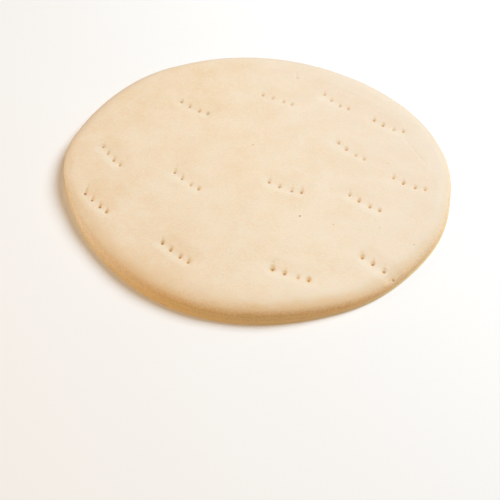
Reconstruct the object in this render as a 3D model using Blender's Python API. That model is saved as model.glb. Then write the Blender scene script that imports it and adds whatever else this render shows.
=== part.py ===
"""A docked pizza base: a pale, part-baked disc of bread, about nine inches across.

Units are metres and +Z is up. The flat underside rests on z = 0, and the middle of the outline's
box is the origin. +X is to the right and -Y is to the front. Bearings are in degrees, counted from
+X towards +Y.
"""

import math

import bmesh
import bpy

MM = 0.001

# Outline, seen from above: a circle with a few shallow waves in it
MEAN_RADIUS = 115.0 * MM
# Each wave: how many bulges it has, how far they stand out, and the bearing of one of them
OUTLINE_WAVES = (
    (2, 3.25 * MM, -46),
    (3, 0.95 * MM, 21),
    (4, 0.76 * MM, -5),
    (5, 0.29 * MM, 32),
    (6, 0.43 * MM, 0),
)
OUTLINE_SIDES = 120

# Rim, in section: a low wall, pinched in a little at its waist, then a round shoulder
EDGE_HEIGHT = 11.4 * MM
WALL_HEIGHT = 6.6 * MM
SHOULDER_WIDTH = 9.4 * MM
SHOULDER_STEPS = 6
# Points of the wall, as an inset from the outline and a share of the wall's height
WALL_SECTION = (
    (0.00 * MM, 0.00),
    (0.45 * MM, 0.14),
    (0.70 * MM, 0.46),
    (0.30 * MM, 1.00),
)
# The shoulder is broader and falls lower on the side where the dough was stretched
SOFT_SIDE_BEARING = 215
SOFT_SIDE_EXTRA_WIDTH = 5.0 * MM
SOFT_SIDE_WALL_DROP = 1.8 * MM

# Top: a low dome with slow swells in it
DOME_RISE = 0.8 * MM
# Each swell: its length from crest to crest, its height, the bearing it runs along, and its phase
SWELLS = (
    (118 * MM, 0.22 * MM, 20, 40),
    (83 * MM, 0.16 * MM, 105, 200),
    (61 * MM, 0.10 * MM, 160, 310),
)
FINE_REACH = 9.0 * MM

# Docking: rows of four pin holes, each row in the dent that its bar of pins has pressed
# Each row: its middle (x, y), the bearing of its first gap, and how far it has turned by the last
DOCKING_ROWS = (
    (-39.0 * MM, 56.0 * MM, -44, 17),
    (14.0 * MM, 65.0 * MM, -29, 5),
    (51.0 * MM, 62.0 * MM, -57, 26),
    (82.0 * MM, 37.5 * MM, -43, 22),
    (57.5 * MM, 13.5 * MM, -55, 20),
    (-88.0 * MM, 9.0 * MM, -63, 17),
    (-41.5 * MM, -13.5 * MM, -49, 10),
    (16.5 * MM, -20.0 * MM, -30, 18),
    (89.5 * MM, -16.5 * MM, -42, 22),
    (62.0 * MM, -32.5 * MM, -46, 22),
    (-93.0 * MM, -32.5 * MM, -54, 10),
    (-45.0 * MM, -73.0 * MM, -50, 13),
    (18.0 * MM, -89.5 * MM, -28, 15),
    (65.5 * MM, -84.5 * MM, -42, -10),
)
# Each gap between two pins, and the share of the row's turn that it has taken
PIN_GAPS = ((7.2 * MM, 0.0), (7.8 * MM, 0.31), (5.9 * MM, 1.0))

# The dent that a row lies in: steep on the near side, drawn out on the far side
DENT_DEPTH = 0.5 * MM
DENT_NEAR_REACH = 3.0 * MM
DENT_FAR_REACH = 6.0 * MM
DENT_END_REACH = 5.0 * MM

# One pin hole, as radii at depths below the surface: a soft mouth and a narrow bottom
PIN_SECTION = (
    (-1.5 * MM, 1.60 * MM),
    (0.0 * MM, 1.15 * MM),
    (1.2 * MM, 0.70 * MM),
    (5.0 * MM, 0.50 * MM),
)
PIN_SIDES = 8
PIN_LEAN = 12

# Finish: matte, pale, barely coloured crust
CRUST_COLOUR = (0.86, 0.70, 0.50, 1.0)
CRUST_ROUGHNESS = 0.85
SHARP_ANGLE = 50


def clear_scene():
    for obj in list(bpy.data.objects):
        bpy.data.objects.remove(obj, do_unlink=True)


def outline_radius(angle):
    """Distance from the disc's centre to the outline, at an angle in radians."""
    waves = (height * math.cos(count * (angle - math.radians(bearing)))
             for count, height, bearing in OUTLINE_WAVES)
    return MEAN_RADIUS + sum(waves)


def outline_angles():
    return [2 * math.pi * side / OUTLINE_SIDES for side in range(OUTLINE_SIDES)]


def box_middle():
    """The middle of the outline's box, which goes to the origin."""
    xs = [outline_radius(angle) * math.cos(angle) for angle in outline_angles()]
    ys = [outline_radius(angle) * math.sin(angle) for angle in outline_angles()]
    return (min(xs) + max(xs)) / 2, (min(ys) + max(ys)) / 2


def rim_section(angle):
    """The rim's section at an angle, from the bottom edge up, as pairs of inset and height."""
    softness = (1 + math.cos(angle - math.radians(SOFT_SIDE_BEARING))) / 2
    wall_height = WALL_HEIGHT - SOFT_SIDE_WALL_DROP * softness
    width = SHOULDER_WIDTH + SOFT_SIDE_EXTRA_WIDTH * softness
    section = [(inset, share * wall_height) for inset, share in WALL_SECTION]
    wall_inset = section[-1][0]
    for step in range(1, SHOULDER_STEPS + 1):
        turn = math.radians(90) * step / SHOULDER_STEPS
        inset = wall_inset + width * (1 - math.cos(turn))
        height = wall_height + (EDGE_HEIGHT - wall_height) * math.sin(turn)
        section.append((inset, height))
    return section


def row_frame(row):
    """The middle of a row of pins, and the unit direction in which it runs on average."""
    x, y, bearing, turn = row
    mean = math.radians(bearing + turn / 2)
    return x, y, math.cos(mean), math.sin(mean)


def pin_places(row):
    """Where the four pins of a row went in."""
    x, y, bearing, turn = row
    places = [(0.0, 0.0)]
    for gap, share in PIN_GAPS:
        heading = math.radians(bearing + turn * share)
        last_x, last_y = places[-1]
        places.append((last_x + gap * math.cos(heading), last_y + gap * math.sin(heading)))
    mean_x = sum(place[0] for place in places) / len(places)
    mean_y = sum(place[1] for place in places) / len(places)
    return [(x + px - mean_x, y + py - mean_y) for px, py in places]


def row_half_length():
    return sum(gap for gap, _ in PIN_GAPS) / 2


def across_and_past(row, x, y):
    """How far a point lies to the far side of a row, and how far past the row's ends."""
    row_x, row_y, run_x, run_y = row_frame(row)
    along = (x - row_x) * run_x + (y - row_y) * run_y
    across = (y - row_y) * run_x - (x - row_x) * run_y
    return across, max(0.0, abs(along) - row_half_length())


def dent(row, x, y):
    """Depth of one row's dent at a point."""
    across, past = across_and_past(row, x, y)
    reach = DENT_FAR_REACH if across > 0 else DENT_NEAR_REACH
    return DENT_DEPTH * math.exp(-(across / reach) ** 2 - (past / DENT_END_REACH) ** 2)


def swell(x, y):
    """Height of the slow swells at a point."""
    total = 0.0
    for length, height, bearing, phase in SWELLS:
        run = x * math.cos(math.radians(bearing)) + y * math.sin(math.radians(bearing))
        total += height * math.sin(2 * math.pi * run / length + math.radians(phase))
    return total


def relief(x, y):
    """What the top stands above EDGE_HEIGHT at a point."""
    dome = DOME_RISE * (1 - (x * x + y * y) / MEAN_RADIUS ** 2)
    return dome + swell(x, y) - sum(dent(row, x, y) for row in DOCKING_ROWS)


def near_a_row(x, y):
    return any(math.hypot(*across_and_past(row, x, y)) < FINE_REACH for row in DOCKING_ROWS)


def add_rim(mesh):
    """Adds the bottom and the rim's rings of faces, and returns the ring where the top begins."""
    middle_x, middle_y = box_middle()
    sections = []
    for angle in outline_angles():
        radius = outline_radius(angle)
        points = []
        for inset, height in rim_section(angle):
            x = (radius - inset) * math.cos(angle) - middle_x
            y = (radius - inset) * math.sin(angle) - middle_y
            points.append(mesh.verts.new((x, y, height)))
        sections.append(points)
    rings = list(zip(*sections))
    mesh.faces.new(reversed(rings[0]))
    for lower, upper in zip(rings, rings[1:]):
        for side in range(OUTLINE_SIDES):
            after = (side + 1) % OUTLINE_SIDES
            mesh.faces.new((lower[side], lower[after], upper[after], upper[side]))
    return rings[-1]


def add_top(mesh, ring):
    """Fills the ring with an even grid, made finer round the docking rows."""
    quarter = OUTLINE_SIDES // 4
    grid_ends = []
    for start in (0, 2 * quarter):
        for side in range(start, start + quarter):
            edge = mesh.edges.get((ring[side], ring[(side + 1) % OUTLINE_SIDES]))
            grid_ends.append(edge)
    faces = bmesh.ops.grid_fill(mesh, edges=grid_ends)["faces"]
    fine = [face for face in faces if near_a_row(*face.calc_center_median().xy)]
    edges = {edge for face in fine for edge in face.edges if not edge.is_boundary}
    rim_edges = {edge for vert in ring for edge in vert.link_edges}
    bmesh.ops.subdivide_edges(mesh, edges=list(edges - rim_edges), cuts=1, use_grid_fill=True)


def add_relief(mesh):
    """Raises the top by its relief, the shoulder by less, and the wall's foot not at all."""
    for vert in mesh.verts:
        share = (vert.co.z / EDGE_HEIGHT) ** 2
        vert.co.z += share * relief(vert.co.x, vert.co.y)


def crust_material():
    material = bpy.data.materials.new("crust")
    material.use_nodes = True
    shader = material.node_tree.nodes["Principled BSDF"]
    shader.inputs["Base Color"].default_value = CRUST_COLOUR
    shader.inputs["Roughness"].default_value = CRUST_ROUGHNESS
    shader.inputs["Metallic"].default_value = 0.0
    return material


def add_object(name, mesh):
    """Puts a bmesh in the scene as an object, and frees it."""
    bmesh.ops.recalc_face_normals(mesh, faces=mesh.faces)
    data = bpy.data.meshes.new(name)
    mesh.to_mesh(data)
    mesh.free()
    obj = bpy.data.objects.new(name, data)
    bpy.context.scene.collection.objects.link(obj)
    return obj


def make_bread():
    mesh = bmesh.new()
    ring = add_rim(mesh)
    add_top(mesh, ring)
    bmesh.ops.triangulate(mesh, faces=mesh.faces)
    add_relief(mesh)
    bread = add_object("pizza_base", mesh)
    bread.data.materials.append(crust_material())
    bread.data.shade_smooth()
    bread.data.set_sharp_from_angle(angle=math.radians(SHARP_ANGLE))
    return bread


def surface_height(bread, x, y):
    """Height of the bread's top at a point, by a ray from above."""
    _, place, _, _ = bread.ray_cast((x, y, 2 * EDGE_HEIGHT), (0, 0, -1))
    return place.z


def add_pin(mesh, row, x, y, z):
    """Adds one tapered pin, leaning towards the far side of its row."""
    _, _, run_x, run_y = row_frame(row)
    rings = []
    for depth, radius in PIN_SECTION:
        shift = -depth * math.tan(math.radians(PIN_LEAN))
        ring = []
        for side in range(PIN_SIDES):
            angle = 2 * math.pi * side / PIN_SIDES
            pin_x = x - shift * run_y + radius * math.cos(angle)
            pin_y = y + shift * run_x + radius * math.sin(angle)
            ring.append(mesh.verts.new((pin_x, pin_y, z - depth)))
        rings.append(ring)
    mesh.faces.new(rings[0])
    mesh.faces.new(reversed(rings[-1]))
    for upper, lower in zip(rings, rings[1:]):
        for side in range(PIN_SIDES):
            after = (side + 1) % PIN_SIDES
            mesh.faces.new((upper[side], upper[after], lower[after], lower[side]))


def dock(bread):
    """Cuts every pin hole, with one cutter that holds all the pins."""
    mesh = bmesh.new()
    for row in DOCKING_ROWS:
        for x, y in pin_places(row):
            add_pin(mesh, row, x, y, surface_height(bread, x, y))
    pins = add_object("docking_pins", mesh)
    pins.hide_render = True
    pins.display_type = "WIRE"
    cut = bread.modifiers.new("docking", "BOOLEAN")
    cut.operation = "DIFFERENCE"
    cut.solver = "EXACT"
    cut.object = pins


clear_scene()
base = make_bread()
bpy.context.view_layer.update()
dock(base)
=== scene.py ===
# %% [markdown]
# # A docked pizza base
#
# The subject is a plain, part-baked pizza base: a flat disc of pale bread, about nine inches across
# and a finger thick. It has a low wall, a round shoulder, a soft and almost flat top, and short rows
# of holes where a spiked roller has docked the dough so that it doesn't blow up in the oven.
#
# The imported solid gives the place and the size. This lesson models the skin that is seen: first the
# form of the disc, then the marks of the roller, then the colours of the crust, and last the studio.

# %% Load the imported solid
import math

import bpy
import numpy as np
from mathutils import Matrix, Vector


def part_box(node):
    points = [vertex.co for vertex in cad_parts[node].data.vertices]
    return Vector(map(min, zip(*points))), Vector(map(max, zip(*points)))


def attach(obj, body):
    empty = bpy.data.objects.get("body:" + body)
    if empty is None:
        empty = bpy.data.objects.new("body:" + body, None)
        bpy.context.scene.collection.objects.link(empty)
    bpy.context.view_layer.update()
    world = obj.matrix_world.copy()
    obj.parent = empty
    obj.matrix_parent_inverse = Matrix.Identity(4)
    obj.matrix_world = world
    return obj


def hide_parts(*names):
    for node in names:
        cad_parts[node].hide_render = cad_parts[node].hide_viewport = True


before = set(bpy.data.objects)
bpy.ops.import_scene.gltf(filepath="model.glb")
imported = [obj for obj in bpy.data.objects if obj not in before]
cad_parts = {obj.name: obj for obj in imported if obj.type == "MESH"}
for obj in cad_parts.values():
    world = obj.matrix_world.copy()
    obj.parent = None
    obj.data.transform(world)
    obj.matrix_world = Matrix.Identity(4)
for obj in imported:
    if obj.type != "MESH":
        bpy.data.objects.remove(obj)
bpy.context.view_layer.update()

MM = 0.001
low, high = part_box("pizza_base")
print("packed solid:", [round(side / MM, 1) for side in high - low], "mm")

# %% [markdown]
# ## Picking by place
#
# Every step of the modelling picks some points by where they are, switches to edit mode, and uses
# one of Blender's edit operators on them. Picking by place keeps the script readable, because a
# height or a distance says more than a list of vertex numbers would, and it goes on working when the
# mesh is made finer. The masks are numpy arrays, as long as the mesh has points.


# %% Helpers that pick points by place
def points_of(piece):
    """The mesh's points, as rows of x, y and z. The piece is in object mode."""
    places = np.empty(3 * len(piece.data.vertices), dtype=np.float32)
    piece.data.vertices.foreach_get("co", places)
    return places.reshape(-1, 3)


def to_object_mode():
    if bpy.context.object.mode != "OBJECT":
        bpy.ops.object.mode_set(mode="OBJECT")


def pick(piece, mask):
    """Selects the masked points, and what lies wholly between them, and stays in edit mode."""
    to_object_mode()
    mesh = piece.data
    mesh.vertices.foreach_set("select", mask)
    mesh.edges.foreach_set("select", np.zeros(len(mesh.edges), dtype=bool))
    mesh.polygons.foreach_set("select", np.zeros(len(mesh.polygons), dtype=bool))
    bpy.ops.object.mode_set(mode="EDIT")
    bpy.ops.mesh.select_mode(type="VERT")


def picked(piece):
    """The mask of the points that are selected now."""
    to_object_mode()
    mask = np.empty(len(piece.data.vertices), dtype=bool)
    piece.data.vertices.foreach_get("select", mask)
    return mask


def nearest(piece, places, allowed=None):
    """The mask of the points that lie nearest to the given places, seen from above."""
    to_object_mode()
    flat = points_of(piece)[:, :2]
    mask = np.zeros(len(flat), dtype=bool)
    for place in places:
        distance = np.hypot(flat[:, 0] - place[0], flat[:, 1] - place[1])
        if allowed is not None:
            distance[~allowed] = np.inf
        mask[distance.argmin()] = True
    return mask


def outward(bearing):
    """The unit direction of a bearing in degrees, counted from +X towards +Y."""
    return Vector((math.cos(math.radians(bearing)), math.sin(math.radians(bearing)), 0))


# %% [markdown]
# ## The outline
#
# The dough was rounded and pressed, so its edge is a circle that has been pulled a little oval and
# wanders by a millimetre here and there. It could be drawn as a curve with a few handles, but a curve
# would have to be turned into a mesh before a wall can stand on it. So a circle of points is
# stretched along one slant, and its edge is then drawn outwards at evenly spaced bearings with
# proportional editing, which moves the neighbours less and less. Each round of pulls makes one
# shallow wave of the edge, and the waves together make an outline that no longer looks drawn.

# %% Stretch a circle to an oval
MEAN_RADIUS = 115.2 * MM
EDGE_POINTS = 240
OVAL_BEARING = -46
OVAL_STRETCH = 0.0283
# Each wave: how many bulges it has, their height, and the bearing of one of them
EDGE_WAVES = ((3, 0.95 * MM, 21), (4, 0.76 * MM, -5), (5, 0.29 * MM, 32), (6, 0.43 * MM, 0))

bpy.ops.object.select_all(action="DESELECT")
plain_radius = MEAN_RADIUS - sum(height for _, height, _ in EDGE_WAVES)
bpy.ops.mesh.primitive_circle_add(vertices=EDGE_POINTS, radius=plain_radius)
bread = bpy.context.object
bread.name = "docked_bread"
bread.data.name = "docked_bread"

bpy.ops.object.mode_set(mode="EDIT")
bpy.ops.mesh.select_all(action="SELECT")
bpy.ops.transform.resize(
    value=(1 + OVAL_STRETCH, 1 - OVAL_STRETCH, 1),
    orient_type="GLOBAL",
    orient_matrix=Matrix.Rotation(math.radians(OVAL_BEARING), 3, "Z"),
    orient_matrix_type="GLOBAL",
    center_override=(0, 0, 0),
)
print("circle of", EDGE_POINTS, "points, stretched by", OVAL_STRETCH)

# %% Draw the edge out into shallow waves
for bulges, height, bearing in EDGE_WAVES:
    trough_distance = 2 * MEAN_RADIUS * math.sin(math.pi / bulges / 2)
    for bulge in range(bulges):
        direction = outward(bearing + 360 * bulge / bulges)
        pick(bread, nearest(bread, [direction * MEAN_RADIUS]))
        bpy.ops.transform.translate(
            value=direction * 2 * height,
            use_proportional_edit=True,
            proportional_edit_falloff="SMOOTH",
            proportional_size=trough_distance,
        )
to_object_mode()
extent = np.ptp(points_of(bread), axis=0)
print("outline:", np.round(extent[:2] / MM, 1), "mm")

# %% Press in and draw out a few short stretches of the edge
# Each stretch: its bearing, how far the edge moves outwards there, and how far the pull reaches
EDGE_STRETCHES = (
    (166, 0.9 * MM, 30 * MM),
    (194, -1.0 * MM, 30 * MM),
    (130, 0.7 * MM, 42 * MM),
    (333, 0.7 * MM, 34 * MM),
    (300, 0.6 * MM, 34 * MM),
    (59, -0.8 * MM, 42 * MM),
    (14, -0.6 * MM, 34 * MM),
)
for bearing, shift, reach in EDGE_STRETCHES:
    pick(bread, nearest(bread, [outward(bearing) * MEAN_RADIUS]))
    bpy.ops.transform.translate(
        value=outward(bearing) * shift,
        use_proportional_edit=True,
        proportional_edit_falloff="SMOOTH",
        proportional_size=reach,
    )
to_object_mode()
print(len(EDGE_STRETCHES), "short stretches of the edge moved")

# %% [markdown]
# ## Wall and shoulder
#
# In section the rim is a low wall, pinched in a little at its waist, with a thin foot where the dough
# sat on the belt, and then a round shoulder that runs into the top. A bevel on a plain disc would
# give a shoulder that is the same all round. Here the edge loop is extruded upwards once for each
# station of the section, and scaled in to that station's inset. In two places the dough has been
# stretched while it was soft, broadly at the front on the left and lower at the front on the right,
# and at both sides the shoulder has stayed narrow. So each loop is also drawn in or out and up or
# down there, with a falloff that fades along the edge.

# %% The stations of the rim's section
WALL_HEIGHT = 6.6 * MM
EDGE_HEIGHT = 11.4 * MM
SHOULDER_WIDTH = 9.4 * MM
SHOULDER_TURNS = (27, 42, 57, 73, 90)
# Each soft place: its bearing, how much broader the shoulder is, how much lower the wall and how
# much lower the whole rim is there, how far that reaches, and how it fades
SOFT_PLACES = (
    (215, 5.0 * MM, 1.8 * MM, 0.0, 230 * MM, "INVERSE_SQUARE"),
    (312, -1.4 * MM, 0.4 * MM, 2.6 * MM, 88 * MM, "SMOOTH"),
    (184, -7.0 * MM, -3.0 * MM, 0.0, 55 * MM, "SMOOTH"),
    (253, 2.4 * MM, 0.0, 0.0, 60 * MM, "SMOOTH"),
    (10, -5.0 * MM, -1.2 * MM, 0.0, 75 * MM, "SMOOTH"),
)
# Wall: inset from the outline, and share of the wall's height
WALL_SECTION = ((0.45 * MM, 0.14), (0.70 * MM, 0.46), (0.30 * MM, 1.00))
# The wall meets the shoulder in a worn edge, which the crease keeps
WALL_CREASE = 0.8
# Two more loops carry the even spacing a little way into the top
TOP_INSETS = (3.0 * MM, 6.5 * MM)

# Each station: inset and height, and its shares of a soft place's width, wall drop and rim drop
stations = []
for inset, share in WALL_SECTION:
    stations.append((inset, share * WALL_HEIGHT, 0.0, share, share))
for turn in SHOULDER_TURNS:
    inward, upward = 1 - math.cos(math.radians(turn)), math.sin(math.radians(turn))
    stations.append((
        WALL_SECTION[-1][0] + SHOULDER_WIDTH * inward,
        WALL_HEIGHT + (EDGE_HEIGHT - WALL_HEIGHT) * upward,
        inward,
        1 - upward,
        1.0,
    ))
shoulder_end = stations[-1][0]
for inset in TOP_INSETS:
    stations.append((shoulder_end + inset, EDGE_HEIGHT, 1.0, 0.0, 1.0))
print(len(stations), "stations above the foot")

# %% Raise the rim, loop by loop
pick(bread, np.ones(EDGE_POINTS, dtype=bool))
last = (0.0,) * 5
for station in stations:
    inset, height, width_share, wall_share, rim_share = (
        new - old for new, old in zip(station, last))
    radius = MEAN_RADIUS - last[0]
    bpy.ops.mesh.extrude_region_move(TRANSFORM_OT_translate={"value": (0, 0, height)})
    scale = 1 - inset / radius
    bpy.ops.transform.resize(value=(scale, scale, 1), center_override=(0, 0, 0))
    loop = picked(bread)
    pick(bread, loop)
    bpy.ops.mesh.hide(unselected=True)
    for bearing, width, wall_drop, rim_drop, reach, fading in SOFT_PLACES:
        pick(bread, nearest(bread, [outward(bearing) * MEAN_RADIUS], allowed=loop))
        falloff = {
            "use_proportional_edit": True,
            "proportional_edit_falloff": fading,
            "proportional_size": reach,
        }
        scale = 1 - width * width_share / radius
        bpy.ops.transform.resize(value=(scale, scale, 1), center_override=(0, 0, 0), **falloff)
        drop = wall_drop * wall_share + rim_drop * rim_share
        bpy.ops.transform.translate(value=(0, 0, -drop), **falloff)
    bpy.ops.mesh.reveal(select=False)
    pick(bread, loop)
    if station is stations[len(WALL_SECTION) - 1]:
        bpy.ops.transform.edge_crease(value=WALL_CREASE)
    last = station
to_object_mode()
print("rim:", len(bread.data.vertices), "points, top of the edge at",
      round(float(points_of(bread)[:, 2].max()) / MM, 2), "mm")

# %% [markdown]
# ## Top and underside
#
# The inner loop is closed with a grid fill, which lays even square cells over the whole top. A fan of
# triangles would close it too, but it meets in one pole in the middle, and every dent near it would
# pucker. The underside is flat, so a single face with two inset rings is enough there. A subdivision
# surface then rounds everything except the foot, whose edge loop is creased to keep it crisp, since
# the dough was cut off sharply by the belt that it lay on.

# %% Close the top with a grid
pick(bread, loop)
bpy.ops.mesh.fill_grid(span=EDGE_POINTS // 4, offset=EDGE_POINTS // 8)
to_object_mode()
print("with the top:", len(bread.data.polygons), "faces")

# %% Close the underside and crease its edge
foot = points_of(bread)[:, 2] < 0.01 * MM
pick(bread, foot)
bpy.ops.transform.edge_crease(value=1)
bpy.ops.mesh.edge_face_add()
for _ in range(2):
    bpy.ops.mesh.inset(thickness=18 * MM, use_boundary=True)
bpy.ops.mesh.select_all(action="SELECT")
bpy.ops.mesh.normals_make_consistent(inside=False)
to_object_mode()
print("closed:", len(bread.data.polygons), "faces")

# %% Round it with one level of subdivision
rounding = bread.modifiers.new("rounding", "SUBSURF")
rounding.levels = 1
rounding.render_levels = 1
bpy.ops.object.modifier_apply(modifier=rounding.name)
print("rounded:", len(bread.data.polygons), "faces")

# %% Bring the middle of the outline to the origin
lows, highs = points_of(bread).min(axis=0), points_of(bread).max(axis=0)
middle = Vector((lows + highs) / 2)
pick(bread, np.ones(len(bread.data.vertices), dtype=bool))
bpy.ops.transform.translate(value=(-middle.x, -middle.y, 0))
to_object_mode()
print("moved by", [round(-part / MM, 2) for part in middle.xy], "mm")

# %% [markdown]
# ## Dome and swells
#
# The dough rises a little more in the middle than at the rim, and the top is never quite even: slow
# swells run across it that are felt rather than seen. The dome is one proportional pull on the middle
# of the top, with the inverse-square falloff, which has the section of a shallow bowl turned over.
# The swells could be pulled by hand too, but a Displace modifier with a soft cloud texture does it in
# one go. A vertex group keeps both off the wall's foot and the underside.

# %% Raise the dome
DOME_RISE = 0.3 * MM
top = points_of(bread)[:, 2] > 0.5 * WALL_HEIGHT
pick(bread, top)
bpy.ops.mesh.hide(unselected=True)
pick(bread, nearest(bread, [(0, 0)], allowed=top))
bpy.ops.transform.translate(
    value=(0, 0, DOME_RISE),
    use_proportional_edit=True,
    proportional_edit_falloff="INVERSE_SQUARE",
    proportional_size=MEAN_RADIUS,
)
bpy.ops.mesh.reveal(select=False)
to_object_mode()
print("dome:", round(float(points_of(bread)[:, 2].max()) / MM, 2), "mm high")


# %% Swells of the top and small unevenness of the rim
def add_weights(piece, name, weights):
    """A vertex group whose weights are rounded to tenths, so that it is filled in a few calls."""
    group = piece.vertex_groups.new(name=name)
    tenths = np.round(weights * 10).astype(int)
    for tenth in range(1, 11):
        members = np.flatnonzero(tenths == tenth).tolist()
        group.add(members, tenth / 10, "REPLACE")
    return group


def displace_by_clouds(piece, name, size, height, direction, group):
    """Moves the points of a vertex group by a soft noise, and applies the modifier."""
    clouds = bpy.data.textures.new(name, "CLOUDS")
    clouds.noise_scale = size
    clouds.noise_depth = 1
    push = piece.modifiers.new(name, "DISPLACE")
    push.texture = clouds
    push.texture_coords = "GLOBAL"
    push.direction = direction
    push.strength = height
    push.mid_level = 0.5
    push.vertex_group = group.name
    bpy.ops.object.modifier_apply(modifier=push.name)


# Below this height the wall takes no part in the swells of the top
STILL_HEIGHT = 0.3 * WALL_HEIGHT
# Just under a tenth and its multiples, so that rounding can't fall either way
BELOW_TIES = 0.999

heights = points_of(bread)[:, 2]
upper_weight = np.clip((heights - STILL_HEIGHT) / (EDGE_HEIGHT - STILL_HEIGHT), 0, 1)
upper = add_weights(bread, "upper_skin", upper_weight)
displace_by_clouds(bread, "slow_swells", 60 * MM, 1.1 * MM, "Z", upper)
displace_by_clouds(bread, "small_swells", 21 * MM, 0.35 * MM, "Z", upper)
rim_weight = np.where(heights < EDGE_HEIGHT - 0.3 * MM, np.clip(heights / WALL_HEIGHT, 0, 1), 0)
rim = add_weights(bread, "rim_skin", rim_weight * BELOW_TIES)
displace_by_clouds(bread, "rim_unevenness", 16 * MM, 0.45 * MM, "NORMAL", rim)
print("skin between", np.round(points_of(bread).min(axis=0) / MM, 2),
      "and", np.round(points_of(bread).max(axis=0) / MM, 2), "mm")

# %% [markdown]
# ## The docking rows
#
# The roller carries short bars of four blunt pins. Each bar presses a long shallow dent into the
# dough, steep on the near side and drawn out on the far side, and its pins prick through the skin.
# As the roller goes on, every pin drags backwards before it leaves, so a prick is a small dark pit
# at the near end of a soft trailing groove. The pits could be cut with a Boolean, but a cut has a
# hard rim that dough never shows. Here the mesh is made finer round each row, and the dents, grooves
# and pits are all pressed in with proportional editing, from the widest to the smallest.

# %% Where the rows are
# Each row: its middle (x, y), the bearing of its first gap, how far it has turned by the last gap,
# the depth of the bar's dent, how deep each pin pricked, about 1 or 0 where it missed, and the length
# of each groove. Lengths are in mm.
DOCKING_ROWS = (
    (-39.0, 55.5, -42, 17, 0.75, (0.60, 0.60, 0.60, 0.50), (3.3, 2.9, 2.5, 2.1)),
    (13.9, 64.1, -28, 1, 0.30, (0.50, 0.42, 0.42, 0.42), (3.3, 2.6, 2.3, 2.3)),
    (51.0, 62.0, -56, 25, 0.45, (0.42, 0.42, 0.42, 0.42), (3.1, 2.7, 2.7, 2.1)),
    (82.2, 37.2, -44, 24, 0.55, (0.60, 0.60, 0.42, 0.42), (3.4, 2.9, 2.3, 2.1)),
    (57.5, 13.7, -52, 16, 0.55, (0.50, 0.60, 0.42, 0.42), (2.9, 2.7, 2.3, 2.1)),
    (-87.7, 9.2, -62, 15, 1.20, (0.60, 0.60, 0.75, 0.60), (3.8, 3.4, 2.9, 2.5)),
    (-41.2, -14.2, -50, 12, 0.80, (0.85, 0.75, 0.60, 0.75), (5.4, 4.0, 3.7, 2.5)),
    (16.9, -20.2, -33, 23, 0.85, (0.75, 0.75, 0.75, 0.85), (4.9, 3.9, 4.7, 4.1)),
    (89.7, -16.3, -43, 25, 0.35, (0.60, 0.75, 0.60, 0.50), (3.4, 3.1, 2.5, 2.3)),
    (62.3, -32.0, -45, 17, 0.65, (0.60, 0.75, 0.60, 0.60), (3.6, 3.1, 2.7, 2.5)),
    (-92.7, -32.3, -52, 6, 0.90, (1.30, 1.00, 1.30, 1.00), (6.3, 4.9, 3.7, 2.9)),
    (-45.0, -72.6, -48, 9, 1.40, (1.00, 0.85, 0.75, 0.75), (3.2, 2.7, 2.3, 3.7)),
    (18.3, -89.1, -25, 9, 1.10, (0.85, 0.85, 0.42, 0.85), (4.9, 3.6, 2.3, 2.9)),
    (66.0, -81.5, -41, -9, 1.10, (0.85, 0.85, 0.75, 0.00), (3.7, 3.7, 4.4, 1.2)),
)
# Each gap between two pins, and the share of the row's turn that it has taken
PIN_GAPS = ((7.2 * MM, 0.0), (7.8 * MM, 0.31), (5.9 * MM, 1.0))
GROOVE_BEARING = 82


def pin_places(row):
    """Where the four pins of a row went in."""
    x, y, bearing, turn = row[:4]
    places = [Vector((0, 0, 0))]
    for gap, share in PIN_GAPS:
        places.append(places[-1] + outward(bearing + turn * share) * gap)
    shift = Vector((x * MM, y * MM, 0)) - sum(places, Vector()) / len(places)
    return [place + shift for place in places]


def along_grooves(share, force=None):
    """Places a share of the way along the grooves, of all pins or of those of one force."""
    places = []
    for row in DOCKING_ROWS:
        for place, pin_force, length in zip(pin_places(row), row[5], row[6]):
            if force in (None, pin_force):
                places.append(place + outward(GROOVE_BEARING) * (share * length * MM))
    return places


def along_bar(row, aside, spacing):
    """Places along the bar of a row, shifted to its far side."""
    run = outward(row[2] + row[3] / 2)
    far_side = outward(row[2] + row[3] / 2 + 90)
    middle = Vector((row[0] * MM, row[1] * MM, 0)) + far_side * aside
    steps = int(10 * MM / spacing)
    return [middle + run * (step * spacing) for step in range(-steps, steps + 1)]


print(len(DOCKING_ROWS), "rows with", len(along_grooves(0)), "pins")

# %% Small marks beside the rows
# Each mark: where it starts and ends (x, y in mm), its depth and its reach
SMALL_MARKS = (
    ((27.1, 87.0), (26.6, 92.6), 0.15 * MM, 1.9 * MM),
    ((27.1, 87.0), (27.1, 87.0), 0.32 * MM, 1.5 * MM),
    ((90.9, 26.0), (100.6, 3.4), 0.07 * MM, 1.5 * MM),
    ((9.6, -83.6), (10.4, -79.0), 0.17 * MM, 3.2 * MM),
    ((9.3, -85.0), (9.3, -85.0), 0.30 * MM, 2.0 * MM),
    ((-9.5, 105.6), (-5.5, 102.8), 0.09 * MM, 1.4 * MM),
    ((74.2, -88.0), (74.2, -88.0), 0.75 * MM, 1.4 * MM),
)


def along_mark(mark, spacing=1.0 * MM):
    start, end = (Vector((*place, 0)) * MM for place in mark[:2])
    steps = int((end - start).length / spacing)
    return [start.lerp(end, step / max(steps, 1)) for step in range(steps + 1)]


print(len(SMALL_MARKS), "pushes for a dimple, a scratch, a hollow, a crease and a lone prick")

# %% Make the skin finer round the rows and the pins
# Only the top and the shoulder are refined and pressed, not the wall below this height
PRESSED_ABOVE = 4.0 * MM


def distance_to(piece, places):
    """How far each point of the skin is from the nearest of the places, seen from above."""
    flat = points_of(piece)[:, :2]
    least = np.full(len(flat), np.inf)
    for place in places:
        least = np.minimum(least, np.hypot(flat[:, 0] - place[0], flat[:, 1] - place[1]))
    return least


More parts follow.
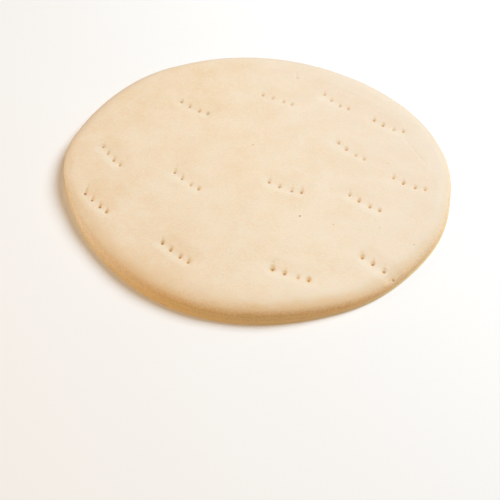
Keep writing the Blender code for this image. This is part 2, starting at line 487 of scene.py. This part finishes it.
def refine(piece, places, reach):
    """Cuts each cell in four where all its corners are within reach of a place."""
    to_object_mode()
    skin = points_of(piece)[:, 2] > PRESSED_ABOVE
    pick(piece, skin & (distance_to(piece, places) < reach))
    bpy.ops.mesh.subdivide(number_cuts=1, quadcorner="INNERVERT")
    to_object_mode()


all_bars = [place for row in DOCKING_ROWS for place in along_bar(row, 1.5 * MM, 2.5 * MM)]
all_marks = [place for mark in SMALL_MARKS for place in along_mark(mark)]
refine(bread, all_bars, 9.0 * MM)
refine(bread, all_marks, 4.0 * MM)
refine(bread, along_grooves(0) + along_grooves(0.5) + along_grooves(1), 3.2 * MM)
refine(bread, along_grooves(0) + along_grooves(0.4) + all_marks, 2.0 * MM)
print("fine skin:", len(bread.data.polygons), "faces")

# %% Press the long dents of the bars
# Each push of a bar: the share of its depth, how far aside it lies, and its reach
BAR_PUSHES = ((0.60, 2.5 * MM, 8.5 * MM), (0.45, -0.9 * MM, 5.0 * MM))


def press(places, depth, reach, falloff="SMOOTH"):
    """Pushes the skin down at all of the places at once, with a falloff round each."""
    skin = points_of(bread)[:, 2] > PRESSED_ABOVE
    pick(bread, nearest(bread, places, allowed=skin))
    bpy.ops.transform.translate(
        value=(0, 0, -depth),
        use_proportional_edit=True,
        proportional_edit_falloff=falloff,
        proportional_size=reach,
    )
    to_object_mode()


# The wall below this height is hidden, so that no push reaches it. It lies between two loops.
HIDDEN_BELOW = 0.37 * WALL_HEIGHT
pick(bread, points_of(bread)[:, 2] > HIDDEN_BELOW)
bpy.ops.mesh.hide(unselected=True)
for share, aside, reach in BAR_PUSHES:
    before_bars = points_of(bread)[:, 2].copy()
    for row in DOCKING_ROWS:
        press(along_bar(row, aside, 1.0 * MM), share * row[4] * MM, reach)
bar_depth = before_bars - points_of(bread)[:, 2]
print("deepest dent:", round(float(bar_depth.max()) / MM, 2), "mm")

# %% Drag the grooves, then prick the pits
# Each push along a groove: the share of the way, its depth and its reach
GROOVE_PUSHES = (
    (0.0, 0.30 * MM, 2.5 * MM),
    (0.3, 0.45 * MM, 1.9 * MM),
    (0.6, 0.40 * MM, 1.8 * MM),
    (1.0, 0.26 * MM, 1.8 * MM),
)
PIT_DEPTH = 1.05 * MM
PIT_REACH = 1.30 * MM
LIP_HEIGHT = 0.12 * MM
LIP_DISTANCE = 2.2 * MM

before_pins = points_of(bread)[:, 2].copy()
for force in sorted({pin_force for row in DOCKING_ROWS for pin_force in row[5]} - {0.0}):
    for share, depth, reach in GROOVE_PUSHES:
        press(along_grooves(share, force), depth * force, reach)
    press(along_grooves(0, force), PIT_DEPTH * force, PIT_REACH)
    near_side = outward(GROOVE_BEARING + 165) * LIP_DISTANCE
    press([place + near_side for place in along_grooves(0, force)], -LIP_HEIGHT * force, 1.9 * MM)
print("deepest pit:", round(float((before_pins - points_of(bread)[:, 2]).max()) / MM, 2), "mm")

# %% Press the small marks
for mark in SMALL_MARKS:
    press(along_mark(mark), *mark[2:])
pin_depth = before_pins - points_of(bread)[:, 2]
bpy.ops.object.mode_set(mode="EDIT")
bpy.ops.mesh.reveal(select=False)
to_object_mode()
print("small marks pressed")

# %% Set the foot and the underside flat on the floor
pick(bread, points_of(bread)[:, 2] < 0.01 * MM)
bpy.ops.transform.resize(value=(1, 1, 0), center_override=(0, 0, 0))
to_object_mode()
print("lowest point:", round(float(points_of(bread)[:, 2].min()) / MM, 4), "mm")

# %% Keep how deep each point was pressed and pricked, for the colour later
pressed = bread.data.attributes.new("pressed", "FLOAT", "POINT")
pressed.data.foreach_set("value", np.clip(2 * bar_depth / MM, 0, 1).astype(np.float32))
pricked = bread.data.attributes.new("pricked", "FLOAT", "POINT")
pricked.data.foreach_set("value", np.clip(pin_depth / PIT_DEPTH, 0, 1).astype(np.float32))
print("points inside a groove or pit:", int((pin_depth > 0.05 * MM).sum()))

# %% [markdown]
# ## Smooth shading
#
# The skin is smooth, and only the foot is a real edge. Shading by angle keeps that one sharp.

# %% Smooth the skin and keep the foot crisp
bpy.ops.object.select_all(action="DESELECT")
bread.select_set(True)
bpy.context.view_layer.objects.active = bread
bpy.ops.object.shade_smooth_by_angle(angle=math.radians(65))
bread.data.calc_loop_triangles()
print("triangles:", len(bread.data.loop_triangles))

# %% [markdown]
# ## The crust's material
#
# Part-baked bread has only just begun to colour. Where it is baked more it turns a little darker and
# a good deal yellower, so one value, how far a spot is baked, can drive most of the colour. On the
# top it rises towards the rim and wanders in soft clouds, and it also carries painted shade: the top
# is darker and yellower towards the left, and paler towards the right, where the light falls. Over
# the shoulder and down the wall the crust turns tan, and each side has its own ramp of colours from
# the top to the wall, partly the crust's own tan and partly painted light and shade, darkest at the
# front, where the wall stands in shade. The foot is painted lighter, as light would fall on it. A
# fine grain lies over all of it, stronger on the wall, where the skin is rough. The brown specks of
# bran come last, and painted shade inside the pricks. A plain noise between two colours would give
# blotches, but not that order.


# %% Helpers for nodes
def add_node(tree, kind, values=None, **settings):
    """A new node with its settings, and with values on its named or numbered sockets."""
    node = tree.nodes.new(kind)
    for name, setting in settings.items():
        setattr(node, name, setting)
    for name, value in (values or {}).items():
        node.inputs[name].default_value = value
    return node


def feed(tree, socket, source):
    """Links a socket to its source, or sets it where the source is a plain value."""
    if isinstance(source, bpy.types.NodeSocket):
        tree.links.new(source, socket)
    else:
        socket.default_value = source


def calculate(tree, operation, first, second):
    node = add_node(tree, "ShaderNodeMath", operation=operation)
    feed(tree, node.inputs[0], first)
    feed(tree, node.inputs[1], second)
    return node.outputs[0]


def mix_colours(tree, mask, below, above):
    """Lays the colour above over the colour below, by a mask."""
    node = add_node(tree, "ShaderNodeMix", data_type="RGBA")
    for socket, source in ((node.inputs[0], mask), (node.inputs[6], below), (node.inputs[7], above)):
        feed(tree, socket, source)
    return node.outputs[2]


def stretch(tree, source, from_min, from_max, to_min=0.0, to_max=1.0, way="SMOOTHSTEP"):
    """Stretches a value from one range to another, and keeps it inside the new one."""
    values = {"From Min": from_min, "From Max": from_max, "To Min": to_min, "To Max": to_max}
    node = add_node(tree, "ShaderNodeMapRange", values, interpolation_type=way, clamp=True)
    tree.links.new(source, node.inputs["Value"])
    return node.outputs["Result"]


def noise(tree, vector, size, detail=2.0, roughness=0.5):
    """A soft noise whose lumps are about as large as size, in metres."""
    values = {"Scale": 1 / size, "Detail": detail, "Roughness": roughness}
    node = add_node(tree, "ShaderNodeTexNoise", values)
    tree.links.new(vector, node.inputs["Vector"])
    return node.outputs["Fac"]


# %% How far each spot of the top is baked
CREAM = (0.843, 0.710, 0.545, 1)
DEEP_CREAM = (0.795, 0.600, 0.390, 1)
LIT_SIDE_CREAM = (0.772, 0.673, 0.563, 1)
# How much more the rim is baked, and the bearings and amounts of the painted shade on the top
RIM_BAKE = 0.09
SHADE_BEARING, SHADE_AMOUNT = 115, 0.25
SHADED_CORNER_BEARING, SHADED_CORNER_AMOUNT = 223, 0.30

crust = bpy.data.materials.new("part_baked_crust")
crust.use_nodes = True
tree = crust.node_tree
tree.nodes.clear()
place = add_node(tree, "ShaderNodeTexCoord").outputs
axes = add_node(tree, "ShaderNodeSeparateXYZ")
tree.links.new(place["Object"], axes.inputs[0])
flat_place = add_node(tree, "ShaderNodeVectorMath", {1: (1, 1, 0)}, operation="MULTIPLY")
tree.links.new(place["Object"], flat_place.inputs[0])
from_middle = add_node(tree, "ShaderNodeVectorMath", operation="LENGTH")
tree.links.new(flat_place.outputs[0], from_middle.inputs[0])


def toward(bearing):
    """How far a spot lies towards a bearing: 0 in the middle, and 1 at the edge there."""
    node = add_node(tree, "ShaderNodeVectorMath", operation="DOT_PRODUCT")
    node.inputs[1].default_value = outward(bearing) / MEAN_RADIUS
    tree.links.new(flat_place.outputs[0], node.inputs[0])
    return node.outputs["Value"]


rim_share = calculate(tree, "DIVIDE", from_middle.outputs["Value"], MEAN_RADIUS)
rim_bake = calculate(tree, "MULTIPLY", calculate(tree, "POWER", rim_share, 2.0), RIM_BAKE)
# Painted shade: the top turns darker and yellower towards the back on the left and the front on the
# left, and paler towards the front on the right
side_shade = calculate(tree, "MULTIPLY", toward(SHADE_BEARING), SHADE_AMOUNT)
corner_shade = stretch(tree, toward(SHADED_CORNER_BEARING), 0.30, 1.00, 0.0, SHADED_CORNER_AMOUNT)
rim_bake_and_side_shade = calculate(tree, "ADD", rim_bake, calculate(tree, "ADD", side_shade, corner_shade))
print("top: from", CREAM[:3], "to", DEEP_CREAM[:3])

# %% Clouds and mottle of the baking
CLOUD_SIZE = 32 * MM
# The offset only chooses which part of the noise lies on the bread
CLOUD_OFFSET = (0.37, -0.72, -0.54)
LEAST_CLOUD_BAKE, MOST_CLOUD_BAKE = -0.42, 0.78
MOTTLE_SIZE = 1.2 * MM
MOTTLE_BAKE = 0.40

cloud_place = add_node(tree, "ShaderNodeVectorMath", {1: CLOUD_OFFSET}, operation="ADD")
tree.links.new(place["Object"], cloud_place.inputs[0])
clouds = noise(tree, cloud_place.outputs[0], CLOUD_SIZE, detail=6, roughness=0.72)
cloud_bake = stretch(tree, clouds, 0.25, 0.75, LEAST_CLOUD_BAKE, MOST_CLOUD_BAKE, "LINEAR")
mottle = noise(tree, place["Object"], MOTTLE_SIZE, detail=3, roughness=0.7)
mottle_bake = stretch(tree, mottle, 0.25, 0.75, -MOTTLE_BAKE, MOTTLE_BAKE, "LINEAR")
baked = calculate(tree, "ADD", calculate(tree, "ADD", rim_bake_and_side_shade, cloud_bake), mottle_bake)
print("clouds about", CLOUD_SIZE / MM, "mm wide, mottle about", MOTTLE_SIZE / MM, "mm")

# %% Painted light: the dents are paler, most on their near flanks, which face the light
DENT_LIGHT = -0.12
dent_depth = add_node(tree, "ShaderNodeAttribute", attribute_name="pressed").outputs["Fac"]
baked = calculate(tree, "ADD", baked, stretch(tree, dent_depth, 0.05, 0.8, 0.0, DENT_LIGHT))
baked_top = mix_colours(tree, baked, CREAM, DEEP_CREAM)
print("dents: baked", DENT_LIGHT, "at the deepest")

# %% Painted light: the top is paler towards the right, a little to the back, where the light falls
LIT_SIDE_BEARING, LIT_SIDE_SHARE = 23, 0.66
lit_side_mask = stretch(tree, toward(LIT_SIDE_BEARING), 0.0, 1.0, 0.0, LIT_SIDE_SHARE, "LINEAR")
top_colour = mix_colours(tree, lit_side_mask, baked_top, LIT_SIDE_CREAM)
print("cool side:", LIT_SIDE_CREAM[:3])

# %% How the rim's colour turns from the top to the wall, on each side
# Each side's ramp is partly the crust's own tan and partly painted light and shade: the front is
# painted darkest and the stretch from the front to the right redder, for the shade and warm light
# thrown up from below there; the left is painted paler, the back darker against the light from
# behind, and at the front the dark band is painted on up the shoulder where the light turns away
# Each stop: how far the skin faces up, and the colour there
FRONT_RIM = (
    (0.10, (0.645, 0.440, 0.200, 1)),
    (0.40, (0.655, 0.445, 0.205, 1)),
    (0.55, (0.740, 0.515, 0.265, 1)),
    (0.70, (0.775, 0.560, 0.325, 1)),
    (0.85, (0.775, 0.575, 0.345, 1)),
    (0.925, (0.800, 0.615, 0.405, 1)),
    (0.965, (0.810, 0.645, 0.450, 1)),
    (1.00, (0.825, 0.670, 0.480, 1)),
)
FRONT_RIGHT_RIM = (
    (0.10, (0.810, 0.480, 0.205, 1)),
    (0.40, (0.830, 0.520, 0.250, 1)),
    (0.55, (0.850, 0.570, 0.310, 1)),
    (0.85, (0.830, 0.610, 0.385, 1)),
    (0.925, (0.820, 0.640, 0.430, 1)),
    (1.00, (0.820, 0.665, 0.480, 1)),
)
RIGHT_RIM = (
    (0.10, (0.900, 0.620, 0.370, 1)),
    (0.47, (0.820, 0.615, 0.400, 1)),
    (0.70, (0.815, 0.630, 0.430, 1)),
    (0.85, (0.800, 0.640, 0.465, 1)),
    (1.00, (0.800, 0.665, 0.510, 1)),
)
LEFT_RIM = (
    (0.10, (0.770, 0.670, 0.520, 1)),
    (0.47, (0.800, 0.705, 0.570, 1)),
    (0.70, (0.855, 0.755, 0.615, 1)),
    (0.85, (0.845, 0.735, 0.575, 1)),
    (0.925, (0.815, 0.680, 0.500, 1)),
    (1.00, (0.810, 0.650, 0.460, 1)),
)
BACK_RIM = (
    (0.10, (0.720, 0.530, 0.340, 1)),
    (0.85, (0.745, 0.590, 0.430, 1)),
    (1.00, (0.780, 0.640, 0.480, 1)),
)


def colour_ramp(tree, source, stops):
    """A ramp of colours, one for each stop."""
    ramp = add_node(tree, "ShaderNodeValToRGB")
    tree.links.new(source, ramp.inputs["Fac"])
    elements = ramp.color_ramp.elements
    elements[0].position, elements[0].color = stops[0]
    elements[1].position, elements[1].color = stops[-1]
    for position, stop_colour in stops[1:-1]:
        elements.new(position).color = stop_colour
    return ramp.outputs["Color"]


# The bounds between the colours wander by this much, and are broken up by the mottle
WANDER = 0.05
BREAK_UP = 0.07
normal_axes = add_node(tree, "ShaderNodeSeparateXYZ")
tree.links.new(place["Normal"], normal_axes.inputs[0])
wander = noise(tree, place["Object"], 9 * MM, detail=4, roughness=0.6)
faces_up = calculate(tree, "ADD", normal_axes.outputs["Z"],
                     stretch(tree, wander, 0.3, 0.7, -WANDER, WANDER))
faces_up = calculate(tree, "ADD", faces_up,
                     stretch(tree, mottle, 0.25, 0.75, -BREAK_UP, BREAK_UP, "LINEAR"))
print("rim: four sides, and a redder stretch between the front and the right")

# %% Lay the rim's colours round the top
# Towards this bearing the front ramp takes over, painted darkest for the shade on the front of the
# wall
SHADED_FRONT_BEARING = -93
to_left = stretch(tree, axes.outputs["X"], 0.2 * MEAN_RADIUS, -0.4 * MEAN_RADIUS)
to_back = stretch(tree, axes.outputs["Y"], -0.05 * MEAN_RADIUS, 0.25 * MEAN_RADIUS)
to_front = stretch(tree, toward(SHADED_FRONT_BEARING), 0.40, 0.91, 0.0, 1.0, "LINEAR")
to_front_right = stretch(tree, axes.outputs["X"], -0.1 * MEAN_RADIUS, 0.5 * MEAN_RADIUS)
rim_colour = mix_colours(tree, to_left, colour_ramp(tree, faces_up, RIGHT_RIM),
                         colour_ramp(tree, faces_up, LEFT_RIM))
rim_colour = mix_colours(tree, to_back, rim_colour, colour_ramp(tree, faces_up, BACK_RIM))
front_colour = mix_colours(tree, to_front_right, colour_ramp(tree, faces_up, FRONT_RIM),
                           colour_ramp(tree, faces_up, FRONT_RIGHT_RIM))
rim_colour = mix_colours(tree, to_front, rim_colour, front_colour)
tilted = stretch(tree, normal_axes.outputs["Z"], 0.995, 0.93)
with_rim = mix_colours(tree, tilted, top_colour, rim_colour)
print("rim colours laid where the skin tilts")

# %% Grain of the crust, faint on the top and stronger down the wall
GRAIN_SIZE = 1.1 * MM
TOP_GRAIN = 0.03
WALL_GRAIN = 0.21
skin_grain = noise(tree, place["Object"], GRAIN_SIZE, detail=4, roughness=0.75)
either_way = stretch(tree, skin_grain, 0.25, 0.75, -1.0, 1.0, "LINEAR")
grain_share = stretch(tree, normal_axes.outputs["Z"], 0.97, 0.45, TOP_GRAIN, WALL_GRAIN)
brightness = calculate(tree, "ADD", calculate(tree, "MULTIPLY", either_way, grain_share), 1.0)
grained = add_node(tree, "ShaderNodeVectorMath", operation="SCALE")
tree.links.new(with_rim, grained.inputs[0])
tree.links.new(brightness, grained.inputs["Scale"])
print("grain: up to", TOP_GRAIN, "on the top and", WALL_GRAIN, "on the wall, either way")

# %% Painted light on the foot, least of it on the left
# The lowest 3 mm of the wall are painted lighter against the shade near the floor, which also draws a
# light line along the bottom edge, most of it on the right
LIT_FOOT = (0.870, 0.650, 0.350, 1)
LEAST_FOOT_LIGHT, MOST_FOOT_LIGHT = 0.20, 0.95
near_floor = stretch(tree, axes.outputs["Z"], 3.0 * MM, 0.3 * MM)
foot_light_share = stretch(tree, axes.outputs["X"], -0.95 * MEAN_RADIUS, 0.3 * MEAN_RADIUS,
                      LEAST_FOOT_LIGHT, MOST_FOOT_LIGHT)
foot_light_mask = calculate(tree, "MULTIPLY", near_floor, foot_light_share)
with_foot = mix_colours(tree, foot_light_mask, grained.outputs[0], LIT_FOOT)
print("foot:", LIT_FOOT[:3])

# %% The underside, which lay on the belt
UNDERSIDE = (0.790, 0.640, 0.440, 1)
BELT_TAN = (0.700, 0.480, 0.250, 1)
belt_marks = noise(tree, place["Object"], 14 * MM, detail=4, roughness=0.6)
underside = mix_colours(tree, stretch(tree, belt_marks, 0.45, 0.75, 0.0, 0.6), UNDERSIDE, BELT_TAN)
down_mask = stretch(tree, normal_axes.outputs["Z"], -0.5, -0.9)
with_underside = mix_colours(tree, down_mask, with_foot, underside)
print("underside:", UNDERSIDE[:3], "with tan patches")

# %% Bran specks, and painted shade inside the pricks
BRAN = (0.430, 0.220, 0.075, 1)
PIT_SHADE = (0.680, 0.440, 0.205, 1)
# Each speck: its place in mm, its size in mm, and how dark it is
BRAN_SPECKS = (
    (-1.7, 18.8, 0.80, 0.50),
    (24.8, -44.0, 0.85, 0.95),
    (43.6, -50.0, 0.65, 0.50),
    (69.6, -51.9, 0.55, 0.35),
    (87.9, -64.4, 0.60, 0.50),
    (79.0, 2.7, 0.65, 0.40),
)
speck_mask = 0.0
for x, y, size, darkness in BRAN_SPECKS:
    gap = add_node(tree, "ShaderNodeVectorMath", {1: (x * MM, y * MM, 0)}, operation="DISTANCE")
    tree.links.new(flat_place.outputs[0], gap.inputs[0])
    speck = stretch(tree, gap.outputs["Value"], size * MM, 0.4 * size * MM, 0.0, darkness)
    speck_mask = calculate(tree, "MAXIMUM", speck, speck_mask)
with_specks = mix_colours(tree, speck_mask, with_underside, BRAN)

# Painted shade: the pricks turn darker and browner the deeper they go
prick_depth = add_node(tree, "ShaderNodeAttribute", attribute_name="pricked").outputs["Fac"]
pit_shade_mask = stretch(tree, prick_depth, 0.10, 1.00)
final_colour = mix_colours(tree, pit_shade_mask, with_specks, PIT_SHADE)
print(len(BRAN_SPECKS), "specks of bran")

# %% Bump, roughness and the shader
grain = noise(tree, place["Object"], 2.4 * MM, detail=3, roughness=0.6)
fine = noise(tree, place["Object"], 0.9 * MM, detail=3, roughness=0.6)
relief = calculate(tree, "ADD", calculate(tree, "MULTIPLY", grain, 0.6),
                   calculate(tree, "MULTIPLY", fine, 0.4))
bump = add_node(tree, "ShaderNodeBump", {"Strength": 0.45, "Distance": 0.30 * MM})
tree.links.new(relief, bump.inputs["Height"])

shader = add_node(tree, "ShaderNodeBsdfPrincipled", {
    "Specular IOR Level": 0.25,
    "Subsurface Weight": 0.15,
    "Subsurface Radius": (1.0, 0.5, 0.25),
    "Subsurface Scale": 0.0015,
})
tree.links.new(final_colour, shader.inputs["Base Color"])
tree.links.new(stretch(tree, grain, 0.3, 0.7, 0.80, 0.93), shader.inputs["Roughness"])
tree.links.new(bump.outputs["Normal"], shader.inputs["Normal"])
output = add_node(tree, "ShaderNodeOutputMaterial")
tree.links.new(shader.outputs["BSDF"], output.inputs["Surface"])
bread.data.materials.clear()
bread.data.materials.append(crust)
print("crust:", len(tree.nodes), "nodes")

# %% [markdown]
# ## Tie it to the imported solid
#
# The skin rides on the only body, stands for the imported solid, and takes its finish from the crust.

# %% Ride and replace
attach(bread, "root")
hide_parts("pizza_base")
print("docked_bread rides on root")

# %% [markdown]
# ## The studio
#
# A pale floor, one large soft light from behind on the right, and a weaker warm one from the front on
# the left. The light from behind grazes the top, which is what makes the shallow dents readable:
# their near flanks face it and light up, and their far flanks turn away.

# %% Floor
bpy.ops.object.select_all(action="DESELECT")
bpy.ops.mesh.primitive_plane_add(size=6)
floor = bpy.context.object
floor.name = "studio_floor"
paper = bpy.data.materials.new("studio_paper")
paper.use_nodes = True
paper_shader = paper.node_tree.nodes["Principled BSDF"]
paper_shader.inputs["Base Color"].default_value = (0.90, 0.90, 0.90, 1)
paper_shader.inputs["Roughness"].default_value = 0.9
floor.data.materials.append(paper)
print("floor: 6 m of pale paper")


# %% Lights
def add_soft_light(name, place, size, power, colour):
    """An area light that looks at the middle of the bread."""
    lamp = bpy.data.lights.new(name, "AREA")
    lamp.shape = "DISK"
    lamp.size = size
    lamp.energy = power
    lamp.color = colour
    light = bpy.data.objects.new(name, lamp)
    light.location = place
    light.rotation_euler = (-Vector(place)).to_track_quat("-Z", "Y").to_euler()
    bpy.context.scene.collection.objects.link(light)
    print(name, round(Vector(place).length, 2), "m away,", power, "W")
    return light


add_soft_light("window_behind", (0.779, 0.450, 1.072), 0.9, 21.9, (0.816, 0.918, 1.0))
add_soft_light("warm_reflector", (-1.192, -0.556, 0.479), 0.9, 8.7, (1.0, 0.654, 0.310))
world = bpy.data.worlds.new("studio_air")
world.use_nodes = True
world.node_tree.nodes["Background"].inputs["Color"].default_value = (1.0, 0.84, 0.68, 1)
world.node_tree.nodes["Background"].inputs["Strength"].default_value = 0.313
bpy.context.scene.world = world
print("the air of the studio fills the shadows with warm light")

# %% [markdown]
# ## The camera
#
# A moderately long lens, held in front and looking down at about 45 degrees.

# %% Camera and the way the picture is developed
lens = bpy.data.cameras.new("camera")
lens.lens = 78.16
lens.sensor_width = 36.0
lens.clip_start = 0.01
camera = bpy.data.objects.new("camera", lens)
camera.location = (-0.00356, -0.49201, 0.43615)
camera.rotation_euler = (math.radians(44.746), 0, 0)
bpy.context.scene.collection.objects.link(camera)
bpy.context.scene.camera = camera
bpy.context.scene.view_settings.view_transform = "Standard"
bpy.context.scene.view_settings.look = "None"
print("camera:", round(camera.location.length, 3), "m away")

# %% [markdown]
# ## Finish
#
# Last, the view layer is brought up to date.

# %% Finish
bpy.context.view_layer.update()
